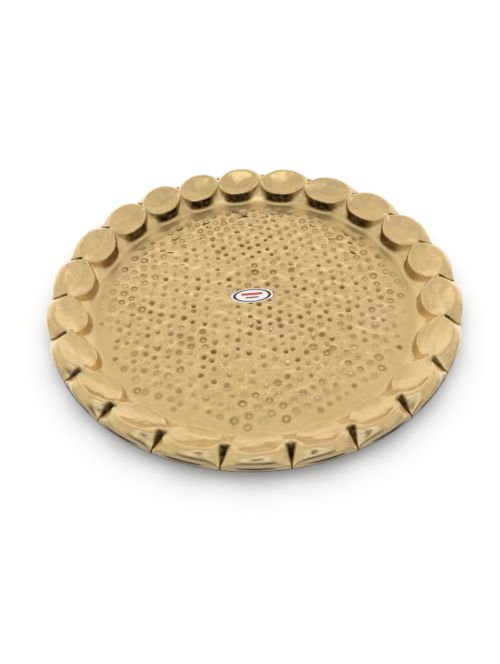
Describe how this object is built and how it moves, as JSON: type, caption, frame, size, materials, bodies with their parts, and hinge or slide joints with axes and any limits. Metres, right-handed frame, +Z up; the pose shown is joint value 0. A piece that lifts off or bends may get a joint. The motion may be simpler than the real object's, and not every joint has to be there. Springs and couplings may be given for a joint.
{
  "type": "serving tray",
  "caption": "Round hammered brass serving tray with a fluted rim of shallow dishes, a wired edge and an oval sticker on its floor.",
  "frame": {"origin": "centre of the floor's underside, on the surface that the tray stands on", "axes": "+Z up, out of the tray; +Y towards the back; +X to the right"},
  "size_m": [0.3523, 0.3539, 0.0237],
  "materials": {
    "brass": "polished and hammered",
    "steel_wire": "drawn wire",
    "label_paper": "semi-gloss printed"
  },
  "bodies": {
    "root": {"tray_sheet": "brass", "rim_wire": "steel_wire", "label": "label_paper"}
  },
  "joints": []
}
